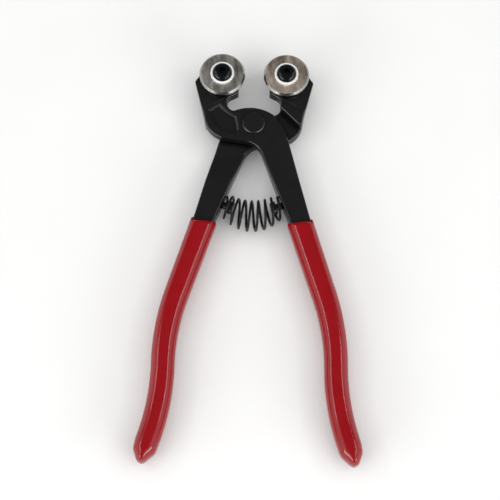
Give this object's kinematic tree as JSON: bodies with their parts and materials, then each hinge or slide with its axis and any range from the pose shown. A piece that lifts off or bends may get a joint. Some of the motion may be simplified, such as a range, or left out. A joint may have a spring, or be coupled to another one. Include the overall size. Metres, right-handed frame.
{
  "type": "mosaic glass nippers",
  "caption": "Wheeled glass and tile nippers: two lapped black levers on a rivet, bevelled disc cutters under button screws, a coil return spring and red dipped grips.",
  "frame": {"origin": "centre of the flat tail face of the rivet, on the rivet axis at the back of the joint", "axes": "+Y along the tool's centre line towards the cutting wheels, +X towards the right handle, +Z along the rivet towards the side that carries the wheels"},
  "size_m": [0.1016, 0.1973, 0.0199],
  "materials": {
    "black_paint": "gloss",
    "wheel_steel": "ground",
    "white_nylon": "satin",
    "bright_plate": "polished",
    "black_oxide": "gloss",
    "rivet_steel": "satin",
    "spring_wire": "satin",
    "red_vinyl": "gloss"
  },
  "bodies": {
    "front_lever": {"front_lever": "black_paint", "pivot_rivet": "rivet_steel", "pivot_washer": "rivet_steel", "left_wheel_sleeve": "bright_plate", "left_front_washer": "white_nylon", "left_back_washer": "bright_plate", "left_wheel_screw": "black_oxide", "right_spring_peg": "black_paint", "right_grip": "red_vinyl", "return_spring": "spring_wire"},
    "rear_lever": {"rear_lever": "black_paint", "right_wheel_sleeve": "bright_plate", "right_front_washer": "white_nylon", "right_back_washer": "bright_plate", "right_wheel_screw": "black_oxide", "left_spring_peg": "black_paint", "left_grip": "red_vinyl"},
    "left_wheel": {"left_cutting_wheel": "wheel_steel"},
    "right_wheel": {"right_cutting_wheel": "wheel_steel"}
  },
  "joints": [
    {"name": "jaw_pivot", "type": "hinge", "parent": "front_lever", "child": "rear_lever", "pos_m": [0, 0, 0.00645], "axis": [0, 0, 1], "range_deg": [-4, 19], "stiffness_Nm_per_rad": 0.5, "deforming": ["return_spring"]},
    {"name": "left_wheel_turn", "type": "hinge", "parent": "front_lever", "child": "left_wheel", "pos_m": [-0.01515, 0.0235, 0.014], "axis": [0, 0, 1], "continuous": true},
    {"name": "right_wheel_turn", "type": "hinge", "parent": "rear_lever", "child": "right_wheel", "pos_m": [0.01515, 0.0235, 0.014], "axis": [0, 0, 1], "continuous": true}
  ]
}
